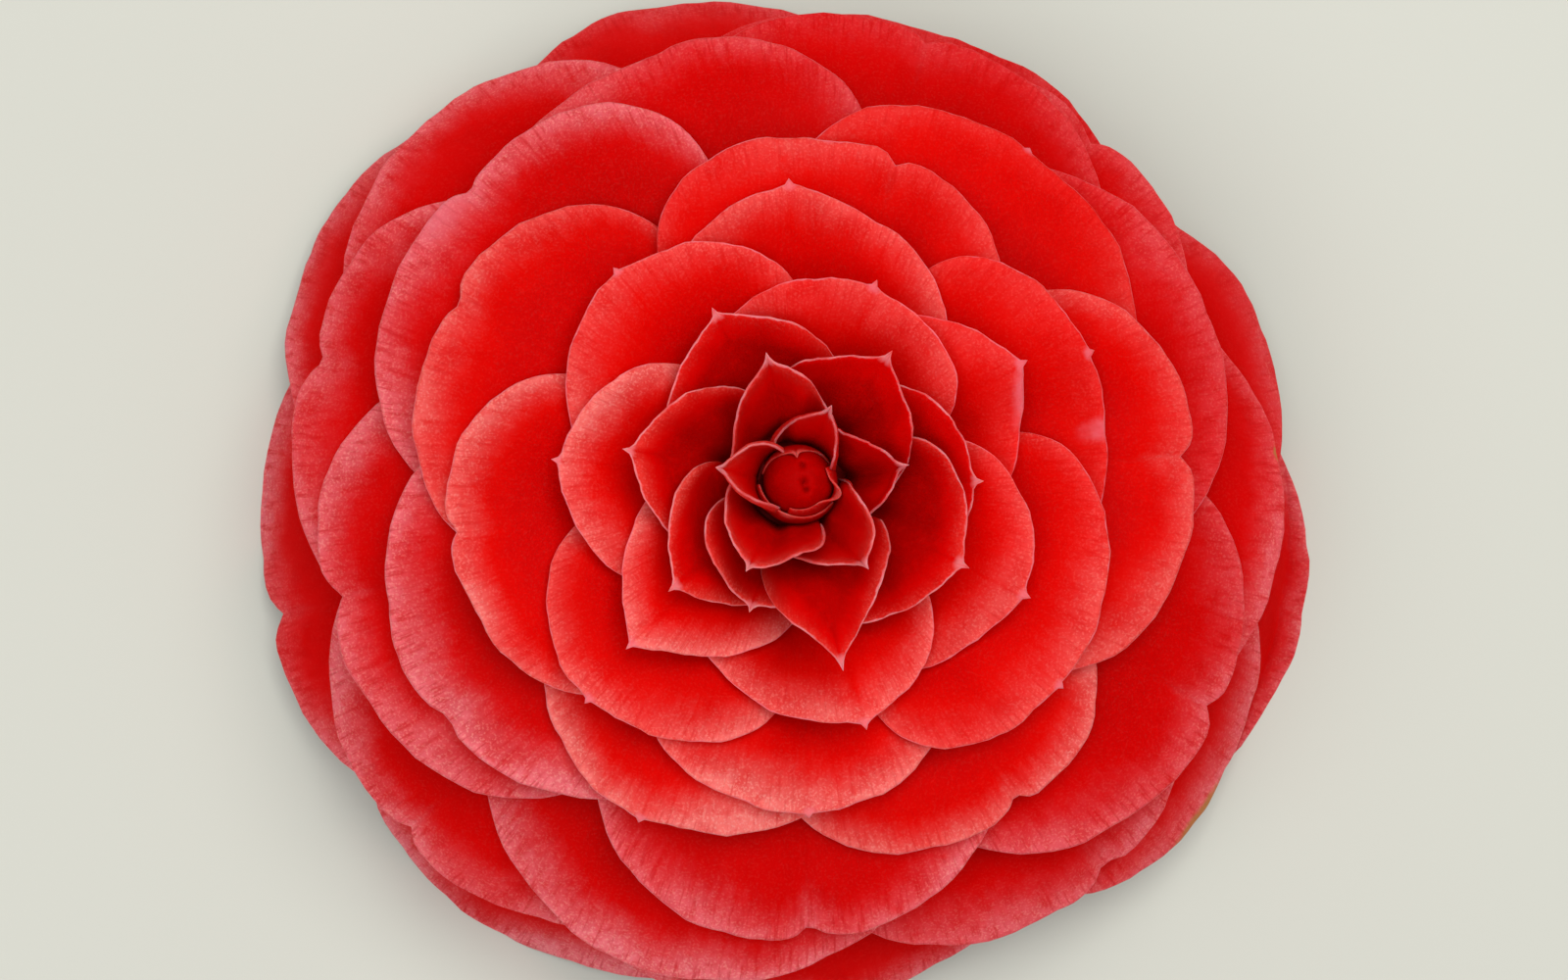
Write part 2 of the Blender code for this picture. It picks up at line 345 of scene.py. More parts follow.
@dataclass(frozen=True)
class SepalFinish:
    """Silky green-brown sepal with a dry brown margin."""

    green: Colour = (0.19, 0.23, 0.06, 1.0)
    pale: Colour = (0.38, 0.38, 0.17, 1.0)
    dry: Colour = (0.16, 0.075, 0.03, 1.0)

    def material(self, name: str) -> Material:
        """Builds the material.

        Args:
            name: Its name.

        Returns:
            The material.
        """
        graph = ShaderGraph(name, Roughness=0.5, Sheen_Weight=0.45, Sheen_Roughness=0.4)
        stripes = graph.noise(graph.layout(), 6.0, 4.0, (7.0, 0.4, 1.0))
        mottle = graph.noise(graph.place(), SEPAL_MOTTLE, 4.0)
        margin = graph.attribute("rim") + (mottle - 0.5) * (2.0 * MM)
        colour = graph.mix(graph.step(stripes, 0.35, 0.75) * 0.7, self.green, self.pale)
        colour = graph.mix((1.0 - graph.step(margin, 0.1 * MM, 2.4 * MM)) * 0.85, colour, self.dry)
        graph.feed("Base Color", colour)
        graph.feed("Roughness", 0.4 + mottle * 0.25)
        graph.bump(stripes + mottle * 0.5, 0.5, 0.15 * MM)
        return graph.material


@dataclass(frozen=True)
class StalkFinish:
    """Green plant tissue with a browned, fibrous cut end, and dark red painted shade at its top."""

    green: Colour = (0.17, 0.22, 0.07, 1.0)
    brown: Colour = (0.21, 0.12, 0.05, 1.0)
    pith: Colour = (0.56, 0.50, 0.30, 1.0)
    # Painted shade: the top, seen only in the gaps round the heart
    top_shade: Colour = (0.34, 0.0, 0.0, 1.0)

    def material(self, name: str) -> Material:
        """Builds the material.

        Args:
            name: Its name.

        Returns:
            The material.
        """
        graph = ShaderGraph(name, Roughness=0.6)
        fibres = graph.noise(graph.place(), STALK_FIBRES, 4.0, (4.0, 4.0, 0.5))
        grain = graph.noise(graph.place(), STALK_GRAIN)
        colour = graph.mix(graph.step(fibres, 0.35, 0.7) * 0.8, self.green, self.brown)
        pith = graph.mix(graph.step(grain, 0.4, 0.7) * 0.5, self.pith, self.brown)
        colour = graph.mix(graph.attribute("cut"), colour, pith)
        graph.feed("Base Color", graph.mix(graph.attribute("top_shade"), colour, self.top_shade))
        graph.feed("Roughness", 0.5 + grain * 0.25)
        graph.bump(fibres * 0.7 + grain * 0.5, 0.6, 0.2 * MM)
        return graph.material


@dataclass(frozen=True)
class HairFinish:
    """Pale silky hairs."""

    colour: Colour = (0.62, 0.58, 0.42, 1.0)
    root: Colour = (0.30, 0.28, 0.14, 1.0)

    def material(self, name: str) -> Material:
        """Builds the material.

        Args:
            name: Its name.

        Returns:
            The material.
        """
        graph = ShaderGraph(name, Roughness=0.35, Sheen_Weight=0.3)
        tint = graph.step(graph.noise(graph.place(), HAIR_TINT, 1.0), 0.35, 0.65)
        graph.feed("Base Color", graph.mix(tint, self.root, self.colour))
        return graph.material


@dataclass(frozen=True)
class FloorFinish:
    """Plain pale matt floor."""

    light: Colour = (0.62, 0.62, 0.55, 1.0)
    shade: Colour = (0.58, 0.58, 0.51, 1.0)

    def material(self, name: str) -> Material:
        """Builds the material.

        Args:
            name: Its name.

        Returns:
            The material.
        """
        graph = ShaderGraph(name, Roughness=0.85)
        graph.feed("Base Color", graph.mix(graph.noise(graph.place(), 6.0), self.light, self.shade))
        return graph.material


PETAL_FINISHES: dict[Whorl, PetalFinish] = {
    # Darker than the middle whorl, with dark claws: partly painted shade of the deep heart
    Whorl.INNER: PetalFinish(
        deep=(0.40, 0.0, 0.0, 1.0), body=(0.60, 0.0, 0.0, 1.0), blush=(0.88, 0.060, 0.045, 1.0),
        edge=(0.86, 0.25, 0.27, 1.0), claw=(0.36, 0.004, 0.002, 1.0), blush_width=2.0 * MM,
        blush_share=0.42, line_width=0.15 * MM, vein_strength=0.15, speckle=0.22,
    ),
    Whorl.MIDDLE: PetalFinish(
        deep=(0.64, 0.0, 0.0, 1.0), body=(0.79, 0.001, 0.0, 1.0), blush=(0.97, 0.165, 0.150, 1.0),
        blush_width=5.0 * MM, vein_strength=0.3,
    ),
    Whorl.OUTER: PetalFinish(
        deep=(0.55, 0.0, 0.0, 1.0), body=(0.665, 0.001, 0.001, 1.0), blush=(0.91, 0.155, 0.180, 1.0),
        blush_width=6.6 * MM, vein_strength=0.5,
    ),
}

# Darker still: painted shade of the heart's well over the petals' own red
HEART_FINISH = PetalFinish(
    deep=(0.38, 0.0, 0.0, 1.0), body=(0.52, 0.0, 0.0, 1.0), blush=(0.66, 0.012, 0.010, 1.0),
    edge=(0.78, 0.10, 0.09, 1.0), blush_width=1.6 * MM, line_width=0.08 * MM,
    vein_strength=0.1, speckle=0.12,
)


# The rule that places every petal


class Petal(NamedTuple):
    """One petal in plan, seen from above."""

    azimuth: float  # degrees, of its tip
    reach: float  # millimetres, from the bloom's axis to its tip
    left: float  # degrees, from its tip to its anticlockwise side
    right: float  # degrees, from its tip to its clockwise side
    roundness: float  # of its rim, from 0.7 for a drawn-out point to 3 for a broad end
    notch: Optional[float] = None  # degrees, from its tip to a nick in its rim


# Innermost first: each petal lies inside those that follow it.
PETALS: tuple[Petal, ...] = tuple(Petal(*row) for row in (
    (173, 7.0, 72, 66, 1.0), (69, 6.2, 84, 64, 1.2), (238, 8.5, 60, 66, 1.3), (305, 8.5, 60, 70, 1.1),
    (8, 8.5, 62, 66, 1.05), (106, 10.0, 68, 60, 1.05), (281, 14.5, 54, 34, 0.9), (249, 11.0, 58, 58, 1.6),
    (220, 13.0, 55, 55, 1.3), (55, 12.0, 68, 68, 1.2), (170, 14.0, 64, 56, 1.25), (332, 14.5, 54, 64, 1.7),
    (0, 14.5, 60, 62, 1.6), (117, 15.0, 62, 54, 1.35), (69, 17.0, 56, 52, 2.1), (224, 19.0, 48, 44, 1.2),
    (285, 20.5, 37, 56, 1.6), (175, 20.0, 54, 44, 1.5), (333, 20.5, 44, 56, 1.7), (28, 20.5, 48, 56, 1.4),
    (131, 23.0, 54, 44, 1.7), (92, 24.5, 47, 54, 1.6), (226, 25.0, 44, 39, 1.9), (322, 27.5, 52, 35, 2.3),
    (24, 26.5, 37, 50, 2.6), (272, 27.5, 38, 43, 2.1), (85, 29.0, 39, 47, 2.5, -12),
    (190, 29.5, 45, 37, 2.1, -2), (245, 31.0, 45, 40, 1.9), (157, 33.0, 41, 41, 2.3, -5),
    (4, 34.0, 38, 46, 2.2, 0), (303, 33.5, 36, 40, 2.2, 2), (55, 35.0, 39, 48, 2.2),
    (205, 36.5, 46, 39, 2.0, 9), (22, 39.0, 44, 37, 2.1), (140, 38.5, 44, 36, 2.7, -2),
    (270, 39.5, 41, 40, 1.9, 2), (107, 39.0, 46, 32, 2.5), (332, 42.0, 34, 43, 2.2, 0),
    (194, 41.5, 45, 33, 2.3, 0), (73, 42.0, 43, 42, 2.2, 0), (48, 42.0, 45, 32, 2.4, 1),
    (358, 43.5, 34, 44, 2.2), (254, 44.0, 42, 39, 2.0), (305, 44.5, 41, 37, 2.1, 5),
    (167, 44.0, 38, 35, 2.4, -2), (135, 46.0, 40, 32, 2.0), (222, 46.0, 37, 37, 2.4, 0),
    (69, 43.5, 43, 38, 2.7), (108, 45.5, 33, 45, 2.1), (18, 46.0, 35, 41, 1.9), (324, 48.0, 34, 32, 2.1),
    (271, 46.5, 42, 39, 2.3), (150, 48.0, 35, 38, 2.2), (344, 49.5, 39, 43, 2.0),
    (194, 48.0, 36, 46, 2.6, 0), (234, 48.0, 39, 36, 2.3),
))


def smooth_step(x: Array) -> Array:
    """Returns 0 below 0, 1 above 1 and a smooth ramp between them."""
    x = np.clip(x, 0.0, 1.0)
    return x * x * (3.0 - 2.0 * x)


def hump(away: Array, width: float, power: float = 2.0) -> Array:
    """Returns 1 at the middle of a hump, falling towards 0 beyond its width."""
    return np.exp(-np.abs(away / width) ** power)


def rounded(across: Array, power: float) -> Array:
    """Returns the height of a round end, 1 at its middle and 0 at its sides."""
    return np.clip(1.0 - np.abs(across) ** power, 0.0, 1.0) ** (1.0 / power)


def ring(sides: int) -> Array:
    """Returns the azimuths of a ring's points in radians, as one row."""
    return np.linspace(0.0, 2.0 * math.pi, sides, endpoint=False)[None, :]


@dataclass(frozen=True)
class Grade:
    """A size that changes along a scale, mostly with a petal's reach in millimetres."""

    places: tuple[float, ...]
    sizes: tuple[float, ...]

    def at(self, place: Union[float, Array]) -> Any:
        """Returns the size at a place of the scale."""
        return np.interp(place, self.places, self.sizes)


@dataclass(frozen=True)
class Stack:
    """How the petals are stacked between the receptacle and the dome of rims."""

    side_fade: float = 20.0  # degrees
    claw_width: float = 0.7
    claw_end: float = 0.4
    shoulder: Grade = Grade((7.0, 15.0, 20.0, 30.0, 50.0), (0.66, 0.60, 0.60, 0.56, 0.52))
    half_bend: Grade = Grade((0.0, 0.15, 0.5, 0.8, 1.0), (5.0, 10.0, 33.0, 43.0, 45.0))  # degrees

    def cover(self, petal: Petal, azimuth: Array) -> Array:
        """Returns how far a petal covers an azimuth.

        Args:
            petal: The petal.
            azimuth: Degrees.

        Returns:
            1 between its sides, fading to 0 beyond them.
        """
        side = (azimuth - petal.azimuth + 180.0) % 360.0 - 180.0
        beyond = np.where(side > 0.0, side - petal.left, -side - petal.right)
        return 1.0 - smooth_step(beyond / self.side_fade)

    def depth(self, index: int, azimuth: Array) -> Array:
        """Returns the share of the petals at an azimuth that lie inside this one.

        Args:
            index: The petal's place in PETALS.
            azimuth: Degrees.

        Returns:
            The share, from 0 for the innermost petal to 1.
        """
        covers = [self.cover(petal, azimuth) for petal in PETALS]
        return sum(covers[:index], np.zeros_like(azimuth)) / sum(covers)


# Meshes


def dress_mesh(mesh: Mesh, layout: Array, marks: dict[str, Array]) -> Mesh:
    """Gives a mesh its UV map, its named numbers and smooth shading.

    Args:
        mesh: The mesh.
        layout: Each point's place on the UV map.
        marks: The numbers that each point carries.

    Returns:
        The same mesh.
    """
    corners = np.empty(len(mesh.loops), dtype=np.int32)
    mesh.loops.foreach_get("vertex_index", corners)
    uv_map = mesh.uv_layers.new(name=UV_MAP)
    uv_map.data.foreach_set("uv", layout[corners].astype(np.float32).reshape(-1))
    for mark, values in marks.items():
        attribute = mesh.attributes.new(mark, "FLOAT", "POINT")
        attribute.data.foreach_set("value", values.astype(np.float32))
    mesh.shade_smooth()
    return mesh


def closed_grid(name: str, rings: Array) -> Mesh:
    """Makes a closed turned mesh with a fan at each end.

    Args:
        name: The mesh's name.
        rings: The points of its rings, from the top down.

    Returns:
        The mesh, with the marks that the finishes read.
    """
    rows, sides = rings.shape[:2]
    points = rings.reshape(-1, 3)
    last = (rows - 1) * sides
    everything = np.concatenate([points, [rings[0].mean(0), rings[-1].mean(0)]])
    faces: list[tuple[int, ...]] = []
    for side in range(sides):
        after = (side + 1) % sides
        for row in range(0, last, sides):
            faces.append((row + side, row + sides + side, row + sides + after, row + after))
        faces.append((len(points), side, after))
        faces.append((len(points) + 1, last + after, last + side))
    mesh = bpy.data.meshes.new(name)
    mesh.from_pydata(everything.tolist(), [], faces)
    x, y, z = (everything - everything.mean(0)).T
    height = everything[:, 2] - everything[:, 2].min()
    plain = {"rim": 3.0 * MM, "tip": 3.0 * MM, "along": 1.0, "lit_side_and_tone": 0.0, "scar": 0.0, "pale": 0.0}
    marks = {mark: np.full(len(z), value) for mark, value in plain.items()}
    marks["cut"] = (height < 0.02 * MM).astype(float)
    # Painted shade on the receptacle's top, rising from 8 mm over its bottom
    marks["top_shade"] = smooth_step((height - 8.0 * MM) / (6.0 * MM))
    layout = np.stack([np.abs(np.arctan2(y, x)), everything[:, 2] / UV_UNIT], -1)
    return dress_mesh(mesh, layout, marks)


class SheetPart(NamedTuple):
    """One blade's grid: places, places on the UV map and named numbers."""

    places: Array
    layout: Array
    marks: dict[str, Array]


@dataclass(frozen=True)
class BladeSheet:
    """A two-sided sheet, closed along its outline, over one grid or several."""

    rows: int
    columns: int
    side_power: float = 1.35
    rim_power: float = 1.7

    def across(self) -> Array:
        """Returns the columns' places from -1 to 1, closest at the tip and the sides."""
        steps = np.linspace(-1.0, 1.0, self.columns + 1)
        return np.sign(steps) * np.sin(np.abs(steps) ** self.side_power * QUARTER_TURN)

    def grid(self) -> tuple[Array, Array]:
        """Returns each point's place across, and along from 0 to 1, closest at the rim."""
        along = 1.0 - (1.0 - np.linspace(0.0, 1.0, self.rows + 1)) ** self.rim_power
        return tuple(np.meshgrid(self.across(), along))

    def faces(self) -> Array:
        """Lists the quads of both sides.

        Returns:
            Four points a row; both sides share the points of the outline.
        """
        stride = self.columns + 1
        top = np.arange((self.rows + 1) * stride).reshape(self.rows + 1, stride)
        under = top.copy()
        inner = (self.rows - 1) * (self.columns - 1)
        under[1:-1, 1:-1] = top.size + np.arange(inner).reshape(self.rows - 1, self.columns - 1)
        corners = (np.s_[:-1, :-1], np.s_[1:, :-1], np.s_[1:, 1:], np.s_[:-1, 1:])
        upper = np.stack([top[corner] for corner in corners], -1).reshape(-1, 4)
        lower = np.stack([under[corner] for corner in corners[:1] + corners[:0:-1]], -1).reshape(-1, 4)
        return np.stack([upper, lower], 1).reshape(-1, 4)

    @staticmethod
    def both_sides(values: Array, under: float = 1.0) -> Array:
        """Returns a grid of values for the points of the upper side, then the under side."""
        return np.concatenate([values.reshape(-1), under * values[1:-1, 1:-1].reshape(-1)])

    def mesh(self, name: str, parts: Sequence[SheetPart]) -> Mesh:
        """Makes one mesh of the sheet's parts.

        Args:
            name: The mesh's name.
            parts: The blades, each over the sheet's own grid.

        Returns:
            The mesh, with its UV map and attributes.
        """
        def listed(grids: Iterable[Array]) -> Array:
            """Returns the parts' grids as one list for all points."""
            return np.concatenate([self.both_sides(grid) for grid in grids])

        points = np.stack([listed(part.places[..., axis] for part in parts) for axis in range(3)], 1)
        layout = np.stack([listed(part.layout[..., axis] for part in parts) for axis in range(2)], 1)
        quads = self.faces()
        count = len(points) // len(parts)
        faces = np.concatenate([quads + part * count for part in range(len(parts))])
        mesh = bpy.data.meshes.new(name)
        mesh.from_pydata(points.tolist(), [], faces.tolist())
        marks = {mark: listed(part.marks[mark] for part in parts) for mark in parts[0].marks}
        upper = np.zeros((self.rows + 1, self.columns + 1))
        upper[1:-1, 1:-1] = 1.0
        marks["side"] = np.tile(self.both_sides(upper, -1.0), len(parts))
        return dress_mesh(mesh, layout, marks)


# Geometry Nodes


class GeometryTree(Graph):
    """A Geometry Nodes group with named inputs that ends in a set material."""

    def __init__(self, name: str, inputs: dict[str, Any]) -> None:
        """Makes the group.

        Args:
            name: The group's name.
            inputs: Its inputs' names and default values.
        """
        super().__init__(bpy.data.node_groups.new(name, "GeometryNodeTree"))
        face = self.tree.interface
        face.new_socket("Geometry", in_out="INPUT", socket_type="NodeSocketGeometry")
        for key, value in inputs.items():
            kind = "NodeSocketInt" if isinstance(value, int) else "NodeSocketFloat"
            face.new_socket(key, in_out="INPUT", socket_type=kind).default_value = value
        face.new_socket("Material", in_out="INPUT", socket_type="NodeSocketMaterial")
        face.new_socket("Geometry", in_out="OUTPUT", socket_type="NodeSocketGeometry")
        self.entry = self.add("NodeGroupInput")

    def input(self, name: str) -> Signal:
        """Returns one of the group's inputs."""
        return Signal(self, self.entry.outputs[name])

    def mark(self, name: str) -> Signal:
        """Returns a number that the mesh's points carry."""
        return self.out("GeometryNodeInputNamedAttribute", {"data_type": "FLOAT"}, {"Name": name})

    def vector(self, x: Number, y: Number, z: Number) -> Signal:
        """Returns a vector of three numbers."""
        return self.out("ShaderNodeCombineXYZ", None, {"X": x, "Y": y, "Z": z})

    def scaled(self, vector: Signal, scale: Signal) -> Signal:
        """Returns a vector times a number."""
        values = {"Vector": vector, "Scale": scale}
        return self.out("ShaderNodeVectorMath", {"operation": "SCALE"}, values, "Vector")

    def moved(self, geometry: Signal, **places: Signal) -> Signal:
        """Returns the geometry with its points set to a Position or moved by an Offset."""
        return self.out("GeometryNodeSetPosition", None, {"Geometry": geometry, **places})

    def end(self, geometry: Signal) -> None:
        """Ends the tree in Realize Instances and Set Material.

        Args:
            geometry: What the tree has made.
        """
        real = self.out("GeometryNodeRealizeInstances", None, {"Geometry": geometry})
        values = {"Geometry": real, "Material": self.input("Material")}
        self.add("NodeGroupOutput", None, {"Geometry": self.out("GeometryNodeSetMaterial", None, values)})

    def apply(self, piece: Object, settings: dict[str, Any]) -> None:
        """Runs the tree on a piece and turns the result into its plain mesh.

        Args:
            piece: The object, not yet evaluated.
            settings: Values for the named inputs.
        """
        modifier = piece.modifiers.new(self.tree.name, "NODES")
        modifier.node_group = self.tree
        for item in self.tree.interface.items_tree:
            if item.in_out == "INPUT" and item.name in settings:
                modifier[item.identifier] = settings[item.name]
        depsgraph = bpy.context.evaluated_depsgraph_get()
        mesh = bpy.data.meshes.new_from_object(
            piece.evaluated_get(depsgraph), preserve_all_data_layers=True, depsgraph=depsgraph
        )
        piece.modifiers.remove(modifier)
        piece.data = mesh
        mesh.materials.clear()
        mesh.materials.append(settings["Material"])
        mesh.polygons.foreach_set("material_index", np.zeros(len(mesh.polygons), dtype=np.int32))
        mesh.shade_smooth()


class SheetTree(GeometryTree):
    """Draws the two sides of a sheet apart, thin at its outline."""

    def __init__(self, name: str = "thin sheet", inputs: Settings = None) -> None:
        """Builds the tree, with more inputs for the sheet's shape."""
        super().__init__(name, {"Thickness": 0.34 * MM, "Rim Rounding": 0.5 * MM, **(inputs or {})})
        self.end(self._thick(self._shape(self.input("Geometry"))))

    def _shape(self, sheet: Signal) -> Signal:
        """Returns the sheet in its shape, here as it comes."""
        return sheet

    def _thick(self, sheet: Signal) -> Signal:
        """Draws the two sides of the sheet apart.

        Args:
            sheet: The sheet in its shape.

        Returns:
            The blade.
        """
        near = (self.mark("outline") / self.input("Rim Rounding")).clamp()
        half = self.input("Thickness") * 0.5 * self.math("SQRT", near * (2.0 - near))
        half = half * self.math("ABSOLUTE", self.mark("side"))
        return self.moved(sheet, Offset=self.scaled(self.out("GeometryNodeInputNormal"), half))


class BladeTree(SheetTree):
    """Shapes a petal's sheet as an arc from its seat to its rim, with ruffles."""

    def __init__(self) -> None:
        """Builds the tree."""
        super().__init__("petal blade", {
            "Axis X": 0.0,
            "Axis Y": 0.0,
            "Lift": 0.0,
            "Seat Radius": 9.6 * MM,
            "Seat Bottom": 7.6 * MM,
            "Seat Height": 17.0 * MM,
            "Seat First Angle": math.radians(20.0),
            "Heart Radius": 6.5 * MM,
            "Bloom Radius": 48.2 * MM,
            "Bloom Flattening": 0.035,
            "Bloom Flat Side": math.radians(80.0),
            "Crown Height": 35.0 * MM,
            "Crown Drop": 41.5 * MM,
            "Crown Drop Power": 2.4,
            "Spread Power": 1.3,
            "Ruffle": 0.3 * MM,
            "Ruffle Scale": 2.6,
            "Seed": 0.0,
        })

    def _shape(self, sheet: Signal) -> Signal:
        """Bends the sheet up from the receptacle.

        Args:
            sheet: The flat sheet.

        Returns:
            The sheet in its shape.
        """
        distance, height = self._arc()
        azimuth = self.mark("azimuth")
        x = distance * self.math("COSINE", azimuth) + self.input("Axis X")
        y = distance * self.math("SINE", azimuth) + self.input("Axis Y")
        return self.moved(sheet, Position=self.vector(x, y, height))

    def _arc(self) -> tuple[Signal, Signal]:
        """Works out the arc that each point lies on.

        Returns:
            Each point's distance from the axis and its height over the surface.
        """
        depth, along, azimuth, bend = (self.mark(name) for name in ("depth", "along", "azimuth", "bend"))
        first = self.input("Seat First Angle")
        angle = first + (QUARTER_TURN - first) * depth
        seat_r = self.input("Seat Radius") * self.math("SINE", angle)
        seat_z = self.input("Seat Bottom") + self.input("Seat Height") * self.math("COSINE", angle)
        flat = self.math("COSINE", azimuth - self.input("Bloom Flat Side"))
        radius = self.input("Bloom Radius") * (1.0 - self.input("Bloom Flattening") * flat)
        spread = self.math("SINE", depth * QUARTER_TURN) ** self.input("Spread Power")
        heart = self.input("Heart Radius")
        drop = self.input("Crown Drop") * depth ** self.input("Crown Drop Power")
        run = heart + (radius - heart) * spread - seat_r
        rise = self.input("Crown Height") - drop - seat_z
        chord = self.math("SQRT", run * run + rise * rise)
        start = self.math("ARCTAN2", rise, run) + bend
        curvature = 2.0 * self.math("SINE", bend) / chord
        last_sine = self.math("SINE", start) - curvature * (self.mark("reach") - seat_r)
        last = self.math("ARCSINE", self.math("MAXIMUM", last_sine, -0.98))
        slope = start + (last - start) * along
        distance = seat_r + (self.math("SINE", start) - self.math("SINE", slope)) / curvature
        height = seat_z + (self.math("COSINE", slope) - self.math("COSINE", start)) / curvature
        lift = self.mark("swell") + self._ruffle(azimuth, along)
        distance = distance - lift * self.math("SINE", slope)
        height = height + lift * self.math("COSINE", slope) + self.input("Lift")
        return distance, self.math("MAXIMUM", height, 0.55 * self.input("Thickness"))

    def _ruffle(self, azimuth: Signal, along: Signal) -> Signal:
        """Makes broad waves that grow towards the rim, and small crinkles at it.

        Args:
            azimuth: The points' azimuths.
            along: Their places along the blade.

        Returns:
            How far each point is lifted.
        """
        lift: Number = 0.0
        for finer, size, power in ((1.0, 2.0, 3.0), (5.0, 0.55, 7.0)):
            waves = azimuth * self.input("Ruffle Scale") * finer
            vector = self.vector(waves, along * 0.8, self.input("Seed"))
            noise = self.out("ShaderNodeTexNoise", None, {"Vector": vector, "Scale": 1.0, "Detail": 2.0})
            lift = (noise - 0.5) * size * self.input("Ruffle") * along**power + lift
        return lift


class HairTree(GeometryTree):
    """Scatters short tapered hairs over a surface."""

    def __init__(self) -> None:
        """Builds the tree."""
        super().__init__("silky hairs", {
            "Density": 9.0e6,
            "Length": 0.9 * MM,
            "Width": 0.03 * MM,
            "Lean": 1.1,
            "Seed": 3,
        })
        points = self.add("GeometryNodeDistributePointsOnFaces", {"distribute_method": "RANDOM"}, {
            "Mesh": self.input("Geometry"), "Density": self.input("Density"), "Seed": self.input("Seed"),
        })
        hair = self.out("GeometryNodeMeshCone", {"fill_type": "NGON"}, {
            "Vertices": 3, "Radius Top": 0.0, "Radius Bottom": self.input("Width"),
            "Depth": self.input("Length"),
        }, "Mesh")
        along_leaf = self.out("FunctionNodeRandomValue", {"data_type": "FLOAT_VECTOR"}, {
            "Min": (-1.0, -1.0, -0.6), "Max": (1.0, 1.0, 0.2), "Seed": self.input("Seed"),
        })
        values = {0: Signal(self, points.outputs["Normal"]), 1: self.scaled(along_leaf, self.input("Lean"))}
        aim = self.out("ShaderNodeVectorMath", {"operation": "ADD"}, values, "Vector")
        turned = self.out("FunctionNodeAlignRotationToVector", {"axis": "Z"}, {"Vector": aim})
        self.end(self.out("GeometryNodeInstanceOnPoints", None, {
            "Points": Signal(self, points.outputs["Points"]), "Instance": hair, "Rotation": turned,
        }))


# Sub-assemblies


@dataclass(frozen=True)
class Axis:
    """Where the bloom's axis stands in the frame, and how far the bloom is lifted."""

    x: float
    y: float
    lift: float

    @classmethod
    def from_frame(cls) -> Axis:
        """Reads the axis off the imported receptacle."""
        low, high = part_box("receptacle")
        return cls((low[0] + high[0]) / 2.0, (low[1] + high[1]) / 2.0, low[2] - STALK_END)

    def places(self, radius: Array, azimuth: Array, height: Array) -> Array:
        """Returns points round the axis, a coordinate to each place of the last dimension."""
        x, y = self.x + radius * np.cos(azimuth), self.y + radius * np.sin(azimuth)
        return np.stack(np.broadcast_arrays(x, y, self.lift + height), -1)


def new_piece(name: str, mesh: Mesh, material: Material) -> Object:
    """Makes an object at the origin.

    Args:
        name: The piece's name.
        mesh: Its mesh, or the sheet that a tree will shape.
        material: Its material.

    Returns:
        The object.
    """
    if not mesh.materials:
        mesh.materials.append(material)
    piece = bpy.data.objects.new(name, mesh)
    bpy.context.scene.collection.objects.link(piece)
    return piece


def hand_over(piece: Object, node: Optional[str] = None) -> None:
    """Rides a finished piece on the root body and reports it.

    Args:
        piece: The piece.
        node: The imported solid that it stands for.
    """
    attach(piece, ROOT)
    if node is not None:
        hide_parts(node)
    LOG.info("%s: %d faces, %s", piece.name, len(piece.data.polygons), piece.data.materials[0].name)


class Lean(NamedTuple):
    """A stretch of a petal's rim that leans inward, or outward when negative."""

    centre: float  # degrees, from the petal's tip
    width: float  # degrees
    amount: float  # metres
    start: float = 0.3  # along the blade


# Against the petals' places in PETALS.
LEANS: dict[int, tuple[Lean, ...]] = {
    0: (Lean(48.0, 30.0, 1.6 * MM), Lean(-62.0, 26.0, 1.5 * MM)),
    1: (Lean(60.0, 25.0, 0.8 * MM), Lean(-42.0, 25.0, 1.5 * MM)),
    2: (Lean(27.0, 15.0, 0.9 * MM, 0.5),),
    3: (Lean(42.0, 16.0, 1.6 * MM, 0.2),),
    4: (Lean(28.0, 18.0, 0.9 * MM, 0.5),),
    5: (Lean(42.0, 20.0, 0.9 * MM, 0.4), Lean(-42.0, 20.0, 0.9 * MM, 0.4)),
    6: (Lean(-22.0, 14.0, -0.7 * MM, 0.75),),
    8: (Lean(10.0, 12.0, -0.6 * MM, 0.8),),
}


class Spot(NamedTuple):
    """A dry or a bleached spot on a petal's rim."""

    mark: str  # "scar" or "pale", the number that the petal finish reads
    place: float  # degrees, from the petal's tip
    width: float  # degrees
    depth: float  # metres, in from the rim


SPOTS: dict[int, Spot] = {
    19: Spot("pale", -6.0, 8.0, 1.1 * MM),
    24: Spot("pale", -14.0, 2.0, 2.6 * MM),
    35: Spot("pale", 3.0, 5.0, 3.0 * MM),
    42: Spot("scar", 6.0, 1.2, 0.6 * MM),
    51: Spot("scar", -2.0, 5.0, 1.4 * MM),
}


